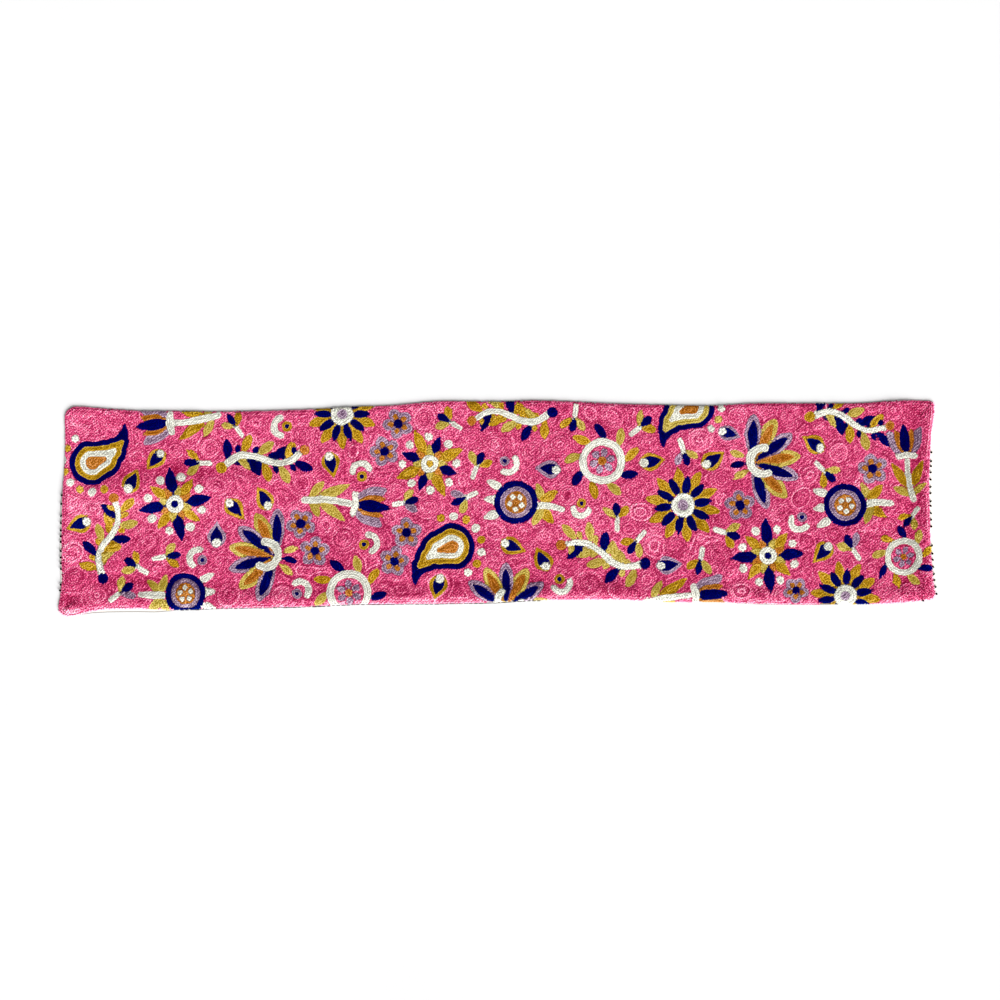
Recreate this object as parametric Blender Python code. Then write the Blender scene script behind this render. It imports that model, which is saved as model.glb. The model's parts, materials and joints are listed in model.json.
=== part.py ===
"""An embroidered table runner lying flat: a puffy stitched face over a plain white cotton backing.

Metres, +Z up. X runs along the runner and Y across it. The origin is on the surface that the runner
lies on, under the middle of its outline.
"""

import math

import bmesh
import bpy
import numpy as np

# Thicknesses of the cloth
FACE_THICKNESS = 0.0030
BACKING_THICKNESS = 0.0010
LAYER_GAP = 0.0003

# How far in from its edge each layer reaches its full thickness, and how high up in the face's
# thickness its turned edge lies
FACE_ROLL = 0.0036
BACKING_ROLL = 0.0010
EDGE_HEIGHT_SHARE = 0.45

PINK_THREAD = (0.79, 0.12, 0.27)
THREAD_ROUGHNESS = 0.85
WHITE_COTTON = (0.86, 0.85, 0.80)
COTTON_ROUGHNESS = 0.9

# The ends of the face as it lies: how far across the runner, and where each end's edge is along it
END_SECTIONS = [  # across, left_end, right_end
    (-0.188, -0.7638, 0.7635),
    (-0.170, -0.7638, 0.7640),
    (-0.152, -0.7600, 0.7632),
    (-0.125, -0.7570, 0.7585),
    (-0.090, -0.7580, 0.7555),
    (-0.030, -0.7575, 0.7530),
    (0.030, -0.7560, 0.7515),
    (0.080, -0.7525, 0.7525),
    (0.130, -0.7512, 0.7550),
    (0.170, -0.7520, 0.7605),
    (0.189, -0.7500, 0.7605),
]

# The long edges of the face as it lies: how far along the runner, and where each edge is across it
SIDE_SECTIONS = [  # along, near_edge, far_edge
    (-0.764, -0.1870, 0.1775),
    (-0.735, -0.1865, 0.1785),
    (-0.705, -0.1782, 0.1765),
    (-0.635, -0.1735, 0.1712),
    (-0.566, -0.1757, 0.1705),
    (-0.496, -0.1729, 0.1695),
    (-0.392, -0.1708, 0.1712),
    (-0.322, -0.1690, 0.1735),
    (-0.253, -0.1655, 0.1781),
    (-0.183, -0.1648, 0.1799),
    (-0.114, -0.1642, 0.1868),
    (0.000, -0.1620, 0.1868),
    (0.060, -0.1588, 0.1886),
    (0.130, -0.1575, 0.1868),
    (0.200, -0.1573, 0.1834),
    (0.303, -0.1622, 0.1808),
    (0.373, -0.1618, 0.1799),
    (0.442, -0.1645, 0.1834),
    (0.547, -0.1660, 0.1836),
    (0.651, -0.1653, 0.1851),
    (0.690, -0.1642, 0.1886),
    (0.764, -0.1560, 0.1880),
]

# The rounded corners of the face, as (is it at the right end, is it on the far side): radius
CORNER_RADIUS = {
    (False, False): 0.016,
    (False, True): 0.020,
    (True, False): 0.012,
    (True, True): 0.008,
}

# How far the backing's edge lies outside the face's edge; a negative value is tucked under it
BACKING_TUCK = -0.0020
BACKING_SHOWS_AT_RIGHT = 0.0050
BACKING_SHOWS_AT_LEFT = 0.0032
BACKING_SHOWS_AT_NEAR_SIDE = 0.0055
# The stretch of each end where the backing shows, and over how long it comes and goes
RIGHT_END_STRETCH = (-0.165, 0.150)
LEFT_END_STRETCH = (-0.170, 0.060)
END_STRETCH_FADE = 0.040
NEAR_SIDE_STRETCHES = [  # middle along, half the length, how far out as a share
    (-0.640, 0.080, 1.00),
    (-0.350, 0.040, 0.45),
    (0.000, 0.050, 0.55),
    (0.500, 0.120, 0.40),
]

# How far in from the backing's edge its outline parts from the face's
BACKING_EDGE_REACH = 0.024

# Soft folds in the lying cloth: the middle, half the length and half the width across the fold,
# the turn of its long direction from X in degrees, how far both layers lift off the surface there,
# and how far the face sinks into its own thickness
FOLDS = [  # along, across, half_length, half_width, turn, lift, dent
    (0.698, 0.110, 0.090, 0.024, 88.0, 0.0030, 0.0),
    (0.738, 0.125, 0.060, 0.008, 92.0, 0.0, 0.0014),
    (0.735, 0.020, 0.060, 0.010, 95.0, 0.0, 0.0007),
    (-0.110, -0.139, 0.085, 0.008, -1.0, 0.0, 0.0013),
    (0.122, -0.134, 0.045, 0.007, 4.0, 0.0, 0.0011),
    (-0.680, -0.151, 0.060, 0.009, -4.0, 0.0, 0.0012),
    (-0.560, -0.105, 0.080, 0.026, -20.0, 0.0020, 0.0),
    (-0.695, -0.010, 0.060, 0.026, 62.0, 0.0024, 0.0),
    (-0.630, 0.095, 0.090, 0.026, -24.0, 0.0016, 0.0),
    (-0.300, 0.120, 0.120, 0.028, 8.0, 0.0022, 0.0),
    (-0.090, -0.100, 0.130, 0.024, -3.0, 0.0024, 0.0),
    (0.120, 0.130, 0.140, 0.028, -3.0, 0.0022, 0.0),
    (0.300, 0.010, 0.080, 0.030, 70.0, 0.0016, 0.0),
    (0.470, -0.080, 0.100, 0.028, 25.0, 0.0018, 0.0),
    (0.630, -0.090, 0.080, 0.026, -35.0, 0.0020, 0.0),
]
# What a fold has to rise above before the cloth leaves the surface
LIES_FLAT_UNDER = 0.0002

# The cloth's even length and width, and how finely it is divided: the cells in its middle, and
# the narrow bands along each edge, as distances in from it
LENGTH = 1.520
WIDTH = 0.350
MIDDLE_CELLS_ALONG = 54
MIDDLE_CELLS_ACROSS = 9
EDGE_BANDS = [0.0, 0.0007, 0.0022, 0.0045, 0.0100, 0.0170, 0.0240, 0.0320]
SHARP_EDGE = math.radians(50)


def read_smoothly(table, column, at):
    """Reads a column of a table whose first column is the place, along a smooth curve."""
    places = np.array([row[0] for row in table])
    values = np.array([row[column] for row in table])
    slopes = np.gradient(values, places)
    at = np.clip(at, places[0], places[-1])
    i = np.clip(np.searchsorted(places, at, side="right") - 1, 0, len(places) - 2)
    span = places[i + 1] - places[i]
    u = (at - places[i]) / span
    start = (1 + 2 * u) * (1 - u) ** 2 * values[i] + u * (1 - u) ** 2 * span * slopes[i]
    end = u**2 * (3 - 2 * u) * values[i + 1] + u**2 * (u - 1) * span * slopes[i + 1]
    return start + end


def ease(u):
    """0 below 0 and 1 above 1, with a soft turn between."""
    u = np.clip(u, 0.0, 1.0)
    return u * u * (3.0 - 2.0 * u)


def fold_height(x, y, column):
    """The sum of one column of the folds at a place on the runner."""
    total = np.zeros_like(x)
    for fold in FOLDS:
        along, across, half_length, half_width, turn = fold[:5]
        c, s = math.cos(math.radians(turn)), math.sin(math.radians(turn))
        u = ((x - along) * c + (y - across) * s) / half_length
        v = ((y - across) * c - (x - along) * s) / half_width
        total += fold[column] * np.exp(-(u**2) - v**2)
    return total


def lift(x, y):
    """How far the cloth is off the surface. It lies flat between the folds."""
    return np.maximum(fold_height(x, y, 5) - LIES_FLAT_UNDER, 0.0)


def dent(x, y):
    """How far the face sinks into its own thickness."""
    return fold_height(x, y, 6)


def spread(length, cells):
    """Distances in from one edge of a length: the bands at each edge, and even cells between."""
    bands = np.array(EDGE_BANDS)
    middle = np.linspace(bands[-1], length - bands[-1], cells + 1)[1:-1]
    return np.concatenate([bands, middle, length - bands[::-1]])


def even_grid():
    """Places on the even cloth with its corners rounded: the distances in from the left end and
    from the near side, and the distance in from the outline."""
    from_left = spread(LENGTH, MIDDLE_CELLS_ALONG)
    from_near = spread(WIDTH, MIDDLE_CELLS_ACROSS)
    a, b = np.meshgrid(from_left, from_near, indexing="ij")
    to_end = np.minimum(a, LENGTH - a)
    to_side = np.minimum(b, WIDTH - b)
    inward = np.minimum(to_end, to_side)
    for (right, far), radius in CORNER_RADIUS.items():
        here = (to_end < radius) & (to_side < radius)
        here &= (a > LENGTH / 2) == right
        here &= (b > WIDTH / 2) == far
        u = 1.0 - to_end[here] / radius
        v = 1.0 - to_side[here] / radius
        round_u = u * np.sqrt(1.0 - v**2 / 2.0)
        round_v = v * np.sqrt(1.0 - u**2 / 2.0)
        inward[here] = radius * (1.0 - np.hypot(round_u, round_v))
        end_now = radius * (1.0 - round_u)
        side_now = radius * (1.0 - round_v)
        a[here] = LENGTH - end_now if right else end_now
        b[here] = WIDTH - side_now if far else side_now
    return a, b, inward


def stretch(place, length, low, high):
    """Moves places on an even length so that its ends land on low and high, and keeps the
    distances near each end as they are."""
    middle = (low + high) / 2
    half = length / 2
    from_middle = place - half
    shift = np.where(from_middle < 0, low - middle + half, high - middle - half)
    return middle + from_middle + shift * ease(np.abs(from_middle) / half)


def as_it_lies(a, b):
    """The places of the even cloth on the surface, with the face's uneven outline."""
    x = a - LENGTH / 2
    y = b - WIDTH / 2
    for _ in range(2):
        y = stretch(b, WIDTH, read_smoothly(SIDE_SECTIONS, 1, x), read_smoothly(SIDE_SECTIONS, 2, x))
        x = stretch(a, LENGTH, read_smoothly(END_SECTIONS, 1, y), read_smoothly(END_SECTIONS, 2, y))
    return x, y


def on_stretch(place, stretch_ends):
    """1 on a stretch and 0 outside it, with soft ends."""
    low, high = stretch_ends
    return ease((place - low) / END_STRETCH_FADE) * ease((high - place) / END_STRETCH_FADE)


def shown(share, most):
    """How far the backing's edge is outside the face's, from tucked under to the most it shows."""
    return BACKING_TUCK + (most - BACKING_TUCK) * share


def backing_places(a, b, x, y):
    """The face's places, moved near the edges to the backing's own outline."""
    at_right = shown(on_stretch(y, RIGHT_END_STRETCH), BACKING_SHOWS_AT_RIGHT)
    at_left = shown(on_stretch(y, LEFT_END_STRETCH), BACKING_SHOWS_AT_LEFT)
    near_share = np.zeros_like(x)
    for middle, half, share in NEAR_SIDE_STRETCHES:
        near_share += share * np.exp(-(((x - middle) / half) ** 4))
    at_near = shown(near_share, BACKING_SHOWS_AT_NEAR_SIDE)
    moved_x = x + at_right * near_edge(LENGTH - a) - at_left * near_edge(a)
    moved_y = y + BACKING_TUCK * near_edge(WIDTH - b) - at_near * near_edge(b)
    return moved_x, moved_y


def near_edge(inward):
    """1 at an edge and 0 where the backing follows the face."""
    return ease(1.0 - inward / BACKING_EDGE_REACH)


def rolled(inward, roll):
    """From 0 at a turned edge to 1 where the layer has its full thickness, round in section."""
    u = np.clip(1.0 - inward / roll, 0.0, 1.0)
    return np.sqrt(1.0 - u**2)


def closed_layer(name, x, y, bottom, top, material):
    """One closed body from a grid of places, with a bottom and a top that meet at the edge."""
    rows, columns = x.shape
    mesh = bmesh.new()
    upper = [[mesh.verts.new((x[i, j], y[i, j], top[i, j])) for j in range(columns)]
             for i in range(rows)]
    lower = [list(line) for line in upper]
    for i in range(1, rows - 1):
        for j in range(1, columns - 1):
            lower[i][j] = mesh.verts.new((x[i, j], y[i, j], bottom[i, j]))
    for i in range(rows - 1):
        for j in range(columns - 1):
            toward_corner = (i < rows // 2) == (j < columns // 2)
            for corners, upward in ((upper, True), (lower, False)):
                add_cell(mesh, corners, i, j, toward_corner, upward)
    body = bpy.data.meshes.new(name)
    mesh.to_mesh(body)
    mesh.free()
    body.shade_smooth()
    body.set_sharp_from_angle(angle=SHARP_EDGE)
    layer = bpy.data.objects.new(name, body)
    bpy.context.scene.collection.objects.link(layer)
    body.materials.append(material)
    return layer


def add_cell(mesh, corners, i, j, toward_corner, upward):
    """Two triangles, split along the diagonal that points to the layer's nearest corner."""
    a, b = corners[i][j], corners[i + 1][j]
    c, d = corners[i + 1][j + 1], corners[i][j + 1]
    halves = [(a, b, c), (a, c, d)] if toward_corner else [(a, b, d), (b, c, d)]
    for half in halves:
        mesh.faces.new(half if upward else half[::-1])


def cloth(name, colour, roughness):
    material = bpy.data.materials.new(name)
    material.use_nodes = True
    shader = material.node_tree.nodes["Principled BSDF"]
    shader.inputs["Base Color"].default_value = (*colour, 1.0)
    shader.inputs["Roughness"].default_value = roughness
    shader.inputs["Metallic"].default_value = 0.0
    return material


def clear_scene():
    for thing in list(bpy.data.objects):
        bpy.data.objects.remove(thing, do_unlink=True)


def backing():
    a, b, inward = even_grid()
    x, y = backing_places(a, b, *as_it_lies(a, b))
    half = BACKING_THICKNESS / 2
    edge = lift(x, y) + half
    full = rolled(inward, BACKING_ROLL)
    bottom = edge - half * full
    top = edge + half * full
    return closed_layer("backing", x, y, bottom, top, cloth("backing", WHITE_COTTON, COTTON_ROUGHNESS))


def embroidered_face():
    a, b, inward = even_grid()
    x, y = as_it_lies(a, b)
    low = lift(x, y) + BACKING_THICKNESS + LAYER_GAP
    high = low + FACE_THICKNESS - dent(x, y)
    edge = low + FACE_THICKNESS * EDGE_HEIGHT_SHARE
    full = rolled(inward, FACE_ROLL)
    bottom = edge + (low - edge) * full
    top = edge + (high - edge) * full
    thread = cloth("embroidered_face", PINK_THREAD, THREAD_ROUGHNESS)
    return closed_layer("embroidered_face", x, y, bottom, top, thread)


def centre(layers):
    """Moves the layers so that the middle of their outline is over the origin."""
    points = [v.co for layer in layers for v in layer.data.vertices]
    for axis in range(2):
        middle = (min(p[axis] for p in points) + max(p[axis] for p in points)) / 2
        for p in points:
            p[axis] -= middle


clear_scene()
centre([backing(), embroidered_face()])
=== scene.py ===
"""A table runner embroidered all over in chain stitch, lying flat on a pale floor."""

import json
import math

import bpy
import numpy as np
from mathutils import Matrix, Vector
from mathutils.bvhtree import BVHTree

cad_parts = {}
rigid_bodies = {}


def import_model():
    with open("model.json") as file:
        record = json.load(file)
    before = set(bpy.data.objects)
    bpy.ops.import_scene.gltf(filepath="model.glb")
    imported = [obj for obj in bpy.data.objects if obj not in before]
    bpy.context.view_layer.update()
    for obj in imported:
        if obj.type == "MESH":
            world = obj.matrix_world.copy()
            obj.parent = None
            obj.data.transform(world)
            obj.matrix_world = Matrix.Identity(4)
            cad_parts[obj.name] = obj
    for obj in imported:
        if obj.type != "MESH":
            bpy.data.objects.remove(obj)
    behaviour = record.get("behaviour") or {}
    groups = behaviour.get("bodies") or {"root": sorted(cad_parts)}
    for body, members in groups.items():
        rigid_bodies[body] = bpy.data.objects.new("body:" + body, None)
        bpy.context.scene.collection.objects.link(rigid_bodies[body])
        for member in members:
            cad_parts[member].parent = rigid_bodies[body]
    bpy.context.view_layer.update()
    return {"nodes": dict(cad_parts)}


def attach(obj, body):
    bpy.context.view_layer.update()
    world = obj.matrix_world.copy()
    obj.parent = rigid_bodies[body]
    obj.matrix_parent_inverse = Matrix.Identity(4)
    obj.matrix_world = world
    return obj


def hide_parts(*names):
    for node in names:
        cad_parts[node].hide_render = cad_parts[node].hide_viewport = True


for thing in list(bpy.data.objects):
    bpy.data.objects.remove(thing)
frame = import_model()
rng = np.random.default_rng(20)

# The photograph: how much of the cloth a pixel of its 1000 x 1000 frame shows, and the pixel that
# the origin falls on
METRES_PER_PIXEL = 0.001738
ORIGIN_PIXEL = (497.5, 508.5)
FRAME_PIXELS = 1000

# Chain stitch: the width of a row, the length of a link, and how high a link stands
ROW = 0.0042
LINK = 0.0046
LINK_HEIGHT = 0.0014

# The face's cloth under the stitches: how far it lies below their tops, its thickness at a turned
# edge, how far in from the outline it turns, and the part of it that is turned right under
STITCH_DEPTH = 0.0011
HEM_THICKNESS = 0.0017
ROLL = 0.0026
ROLL_INSET = 0.0010
HEM_UNDER = 0.0035
STITCHED_TURN = math.radians(98)

# The map of the design: its cell, how many of those a cell of the height map and of the face's
# mesh spans, and how far the map reaches past the outline
CELL = 0.00075
COARSE = 4
MAP_MARGIN = 0.018

# The hem along each edge: how far in its crest is, how high the crest and the edge stand over the
# cloth within, and the half width of its slope down to that
HEMS = {"near": (0.0150, 0.0038, -0.0009, 0.0130), "far": (0.0090, 0.0010, -0.0015, 0.0140),
        "right": (0.0090, 0.0036, -0.0009, 0.0150), "left": (0.0090, 0.0003, -0.0014, 0.0100)}
# How low the relief may go, and how near the floor a stitch may
LOWEST_RELIEF = -0.0014
LOWEST_STITCH = 0.0003
# Other soft ridges, and troughs, whose height is less than nothing
RIDGES = [  # along, across, half length, half width, turn in degrees, height
    (-0.600, 0.036, 0.180, 0.0150, 1, 0.0026),
    (-0.640, 0.014, 0.160, 0.0340, 1, 0.0022),
    (-0.330, 0.062, 0.070, 0.0130, 6, 0.0018),
    (-0.640, -0.092, 0.090, 0.0150, -3, 0.0016),
    (-0.420, 0.140, 0.100, 0.0140, 3, 0.0018),
    (-0.190, 0.142, 0.110, 0.0150, -2, 0.0020),
    (-0.150, -0.062, 0.120, 0.0170, 5, 0.0020),
    (0.090, 0.080, 0.130, 0.0170, -3, 0.0022),
    (0.120, -0.010, 0.150, 0.0400, -4, 0.0022),
    (0.330, 0.120, 0.090, 0.0140, 10, 0.0018),
    (0.440, -0.030, 0.100, 0.0160, 12, 0.0020),
    (0.672, -0.006, 0.060, 0.0120, 32, 0.0024),
    (0.600, -0.098, 0.080, 0.0140, -6, 0.0018),
    (0.722, 0.080, 0.110, 0.0180, 90, -0.0010),
    (0.722, -0.080, 0.060, 0.0160, 90, -0.0007),
]

# Soft patches of painted light and shade on the thread, lighter where the cloth's folds face the
# light and, less than nothing, darker where they turn from it
PAINTED_FOLD_SHADING = [  # along, across, half length, half width, turn in degrees, lightness
    (0.726, 0.070, 0.120, 0.024, 90, -0.24),
    (0.724, -0.090, 0.070, 0.020, 90, -0.13),
    (-0.560, 0.062, 0.130, 0.016, 2, -0.18),
    (-0.600, -0.134, 0.130, 0.013, -2, -0.26),
    (0.010, -0.134, 0.250, 0.012, 1, -0.15),
    (0.640, -0.010, 0.050, 0.020, 30, -0.08),
    (-0.640, 0.000, 0.150, 0.022, 1, 0.20),
    (-0.738, 0.010, 0.150, 0.026, 90, 0.12),
    (-0.744, -0.180, 0.026, 0.010, 0, 0.42),
    (-0.748, -0.158, 0.020, 0.009, -4, -0.26),
    (0.120, -0.010, 0.140, 0.040, -4, 0.06),
]
# The painted highlight on the fold of the near and the right hem, the sides that face the light:
# how much lighter it is, and how wide
PAINTED_RIM_HIGHLIGHT = 0.37
PAINTED_RIM_REACH = 0.0080
# How much the thread's lightness varies from place to place, and the size of those patches
MOTTLE = 0.020
MOTTLE_SIZE = 0.009

# The threads, in sRGB: their colour painted darker as shade in the gaps, their whole colour, and
# their colour painted lighter as highlight on top, how strongly their painted light and shade
# shows, how flecked they are, how strong their painted slanted strokes are, and how near to white
# their painted highlight is where it is strongest
THREADS = {
    "pink": ((132, 0, 50), (232, 81, 135), (240, 160, 191), 0.98, 0.62, 0.35, 0.50),
    "ivory": ((146, 145, 134), (234, 234, 222), (252, 251, 246), 0.80, 0.60, 0.30, 0.12),
    "navy": ((0, 0, 42), (0, 0, 90), (0, 24, 116), 0.74, 0.50, 0.12, 0.0),
    "gold": ((108, 68, 0), (201, 158, 22), (234, 204, 106), 0.80, 0.60, 0.22, 0.12),
    "olive": ((126, 104, 12), (200, 178, 82), (230, 214, 136), 0.80, 0.60, 0.22, 0.12),
    "orange": ((108, 50, 0), (195, 121, 31), (226, 170, 108), 0.80, 0.60, 0.22, 0.12),
    "lilac": ((80, 54, 80), (168, 138, 163), (206, 190, 206), 0.98, 0.66, 0.38, 0.12),
}
# The slanted strokes, painted light and shade of thread ridges lit from one side: their slant in
# degrees, their pitch, how much they bend, and how far their bends are drawn out along them
PAINTED_STROKE_SLANT = 38
PAINTED_STROKE_PITCH = 0.0044
PAINTED_STROKE_BEND = 5.5
PAINTED_STROKE_STRETCH = 2.0
# How patchy each thread is, how light its links are on the whole, and the least of the lightness
# painted over a link, its painted highlight and shade, and its gain
PATCHES = 0.34
USUAL_SHADE = 0.50
LINK_SHADE = (0.12, 0.76)
# Where the usual lightness falls on a thread's colours, from its painted gap shade, 0, to its
# painted highlight, 1
MIDDLE_TONE = 0.30
# The darker and lighter colours of the sewing threads and of the backing, and of the painted
# shadow line along its rim
DARK_THREAD = ((3, 0, 1), (16, 4, 6))
# The seam thread is a dark grey that stands in for the shadow line under the near edge
SHADOW_SEAM_THREAD = ((40, 34, 32), (84, 74, 70))
COTTON = ((192, 190, 181), (220, 218, 210))
RIM_SHADOW_COLOUR = (62, 58, 54)


def linear(colour):
    """An sRGB colour from 0 to 255 as the linear one that shaders take."""
    c = np.array(colour, float) / 255
    return np.where(c <= 0.04045, c / 12.92, ((c + 0.055) / 1.055) ** 2.4)


# The face's outline and height, read from its solid

def triangles_of(node):
    """A node's welded points and its triangles."""
    mesh = node.data
    mesh.calc_loop_triangles()
    points = np.empty((len(mesh.vertices), 3))
    mesh.vertices.foreach_get("co", points.reshape(-1))
    corners = np.empty((len(mesh.loop_triangles), 3), int)
    mesh.loop_triangles.foreach_get("vertices", corners.reshape(-1))
    weld_step = 1e-6
    keys = np.round(points / weld_step).astype(int)
    _, first, joined = np.unique(keys, axis=0, return_index=True, return_inverse=True)
    return points[first], joined.reshape(-1)[corners]


def outline_of(node):
    """A node's outline from above, as points in order, anticlockwise."""
    points, triangles = triangles_of(node)
    a, b, c = (points[triangles[:, k]] for k in range(3))
    facing_up = triangles[np.cross(b - a, c - a)[:, 2] > 0]
    sides = np.concatenate([facing_up[:, [0, 1]], facing_up[:, [1, 2]], facing_up[:, [2, 0]]])
    both_ways = set(map(tuple, sides))
    follows = {p: q for p, q in both_ways if (q, p) not in both_ways}
    longest = []
    while follows:
        here = next(iter(follows))
        loop = []
        while here in follows:
            loop.append(here)
            here = follows.pop(here)
        longest = max(longest, loop, key=len)
    return points[longest][:, :2]


def from_outline(places, outline):
    """Each place's distance in from an outline, negative outside it, and its way straight out."""
    best = np.full(len(places), np.inf)
    way = np.zeros_like(places)
    inside = np.zeros(len(places), bool)
    for a, b in zip(outline, np.roll(outline, -1, axis=0)):
        side = b - a
        length = max(float(np.hypot(*side)), 1e-9)
        share = np.clip((places - a) @ side / length**2, 0, 1)
        gap = places - (a + share[:, None] * side)
        far = np.hypot(gap[:, 0], gap[:, 1])
        closer = far < best
        best[closer] = far[closer]
        way[closer] = gap[closer]
        if side[1]:
            spans = (a[1] > places[:, 1]) != (b[1] > places[:, 1])
            crossing = a[0] + (places[:, 1] - a[1]) * side[0] / side[1]
            inside ^= spans & (places[:, 0] < crossing)
    sign = np.where(inside, -1.0, 1.0)
    way *= (sign / np.maximum(best, 1e-9))[:, None]
    return -sign * best, way


FACE = frame["nodes"]["embroidered_face"]
OUTLINE = outline_of(FACE)
LOW = OUTLINE.min(axis=0) - MAP_MARGIN
MAP_SHAPE = tuple(np.ceil((OUTLINE.max(axis=0) + MAP_MARGIN - LOW) / CELL).astype(int)[::-1] + 1)


def blurred(field, sigma):
    """A field smoothed by a bell of that many cells."""
    reach = int(math.ceil(3 * sigma))
    weights = np.exp(-0.5 * (np.arange(-reach, reach + 1) / sigma) ** 2)
    weights /= weights.sum()
    for axis in range(2):
        padding = [(reach, reach) if k == axis else (0, 0) for k in range(2)]
        padded = np.pad(field, padding, mode="edge")
        total = np.zeros_like(field)
        for k, weight in enumerate(weights):
            part = [slice(None), slice(None)]
            part[axis] = slice(k, k + field.shape[axis])
            total += weight * padded[tuple(part)]
        field = total
    return field


def read_map(field, places, cell=CELL):
    """Reads a map at places, between its cells."""
    at = (places - LOW) / cell
    i = np.clip(np.floor(at[:, 1]).astype(int), 0, field.shape[0] - 2)
    j = np.clip(np.floor(at[:, 0]).astype(int), 0, field.shape[1] - 2)
    v = np.clip(at[:, 1] - i, 0, 1)
    u = np.clip(at[:, 0] - j, 0, 1)
    near = field[i, j] * (1 - u) + field[i, j + 1] * u
    far = field[i + 1, j] * (1 - u) + field[i + 1, j + 1] * u
    return near * (1 - v) + far * v


def cell_places(cell, shape):
    """The places of a map's cells, row by row."""
    x = LOW[0] + cell * np.arange(shape[1])
    y = LOW[1] + cell * np.arange(shape[0])
    return np.stack(np.meshgrid(x, y), axis=-1).reshape(-1, 2)


def soft_noise(step, seed):
    """A smooth field over the map, from -1 to 1, whose lumps are about a step across."""
    lumps = np.random.default_rng(seed)
    coarse = tuple(int(n * CELL / step) + 3 for n in MAP_SHAPE)
    values = lumps.uniform(-1, 1, coarse)
    at = [np.arange(n) * CELL / step for n in MAP_SHAPE]
    i, j = (np.floor(a).astype(int) for a in at)
    u, v = ((a - np.floor(a)) for a in at)
    u, v = u * u * (3 - 2 * u), v * v * (3 - 2 * v)
    low = values[i][:, j] * (1 - v) + values[i][:, j + 1] * v
    high = values[i + 1][:, j] * (1 - v) + values[i + 1][:, j + 1] * v
    return low * (1 - u)[:, None] + high * u[:, None]


def face_height():
    """The height of the face's top over the map, carried on past its rolled edge."""
    shape = tuple(n // COARSE + 2 for n in MAP_SHAPE)
    places = cell_places(COARSE * CELL, shape)
    inward, _ = from_outline(places, OUTLINE)
    tree = BVHTree.FromPolygons(*(part.tolist() for part in triangles_of(FACE)))
    above = 0.1
    past_roll = 0.0042
    heights = np.full(len(places), np.nan)
    for k in np.flatnonzero(inward > past_roll):
        hit = tree.ray_cast(Vector((*places[k], above)), Vector((0, 0, -1)))[0]
        heights[k] = hit.z if hit else np.nan
    heights = heights.reshape(shape)
    while np.isnan(heights).any():
        known = ~np.isnan(heights)
        total, count = np.zeros((2, *shape))
        for axis in range(2):
            for step in (-1, 1):
                total += np.roll(np.where(known, heights, 0), step, axis)
                count += np.roll(known, step, axis)
        spread = ~known & (count > 0)
        heights[spread] = total[spread] / count[spread]
    return blurred(heights, 2.0)


FACE_HEIGHT = face_height()
MAP_PLACES = cell_places(CELL, MAP_SHAPE)


def outline_maps():
    """How far in from the outline each cell is, and its way straight out, along and across."""
    cell = 2 * CELL
    shape = tuple(n // 2 + 1 for n in MAP_SHAPE)
    inward, out = from_outline(cell_places(cell, shape), OUTLINE)
    return [read_map(part.reshape(shape), MAP_PLACES, cell).reshape(MAP_SHAPE)
            for part in (inward, *out.T)]


INWARD, OUT_X, OUT_Y = outline_maps()


def nearest_cells(places):
    """The row and column of the cell nearest to each place."""
    return np.round((places - LOW) / CELL).astype(int)[:, ::-1]


def on_map(cells):
    """An index of cells, where those past the map's border are moved onto it."""
    return tuple(np.clip(cells, 0, np.array(MAP_SHAPE) - 1).reshape(-1, 2).T)


def distance_to(marked, reach):
    """Each cell's distance to the nearest marked cell, in cells, up to a reach."""
    rows, columns = marked.shape
    j = np.arange(columns)
    last = np.maximum.accumulate(np.where(marked, j, -4 * reach), axis=1)
    following = np.where(marked, j, columns + 4 * reach)
    following = np.minimum.accumulate(following[:, ::-1], axis=1)[:, ::-1]
    along = np.minimum(np.minimum(j - last, following - j), 2 * reach).astype(np.float32) ** 2
    best = along.copy()
    for step in range(1, reach + 1):
        best[step:] = np.minimum(best[step:], along[:-step] + step**2)
        best[:-step] = np.minimum(best[:-step], along[step:] + step**2)
    return np.minimum(np.sqrt(best), reach)


# The design: generic folk flowers and leaves, drawn as regions of one thread each

# How far outlines stray from true, coarsely and finely: how far, size of the lumps, and seeds
STRAYS = [(0.0011, 0.016, (1, 2)), (0.0005, 0.005, (3, 4))]


class Design:
    """A map of regions on the flat cloth. Region 0 is the ground and -1 is off the cloth."""

    def __init__(self):
        self.region = np.zeros(MAP_SHAPE, int)
        self.thread = ["pink"]
        self.swirl = [0.0]
        self.places = MAP_PLACES.reshape(*MAP_SHAPE, 2)
        for far, lump, seeds in STRAYS:
            stray = np.stack([soft_noise(lump, seed) for seed in seeds], axis=-1)
            self.places = self.places + far * stray

    def paint(self, middle, reach, thread, test, swirl=0.0):
        """Gives the places near a middle that pass a test to a new region of that thread. Swirl
        is how strongly its rows differ by turns, from -1 to 1."""
        i, j = ((middle[::-1] - LOW[::-1]) / CELL).astype(int)
        cells = int(reach / CELL) + 4
        rows = slice(max(i - cells, 0), max(i + cells, 0))
        columns = slice(max(j - cells, 0), max(j + cells, 0))
        here = test(self.places[rows, columns]) & (self.region[rows, columns] >= 0)
        self.region[rows, columns][here] = len(self.thread)
        self.thread.append(thread)
        self.swirl.append(swirl)


def turned(x, y, angle):
    """Coordinates in a frame that is turned by an angle in radians."""
    c, s = math.cos(angle), math.sin(angle)
    return x * c + y * s, y * c - x * s


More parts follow.
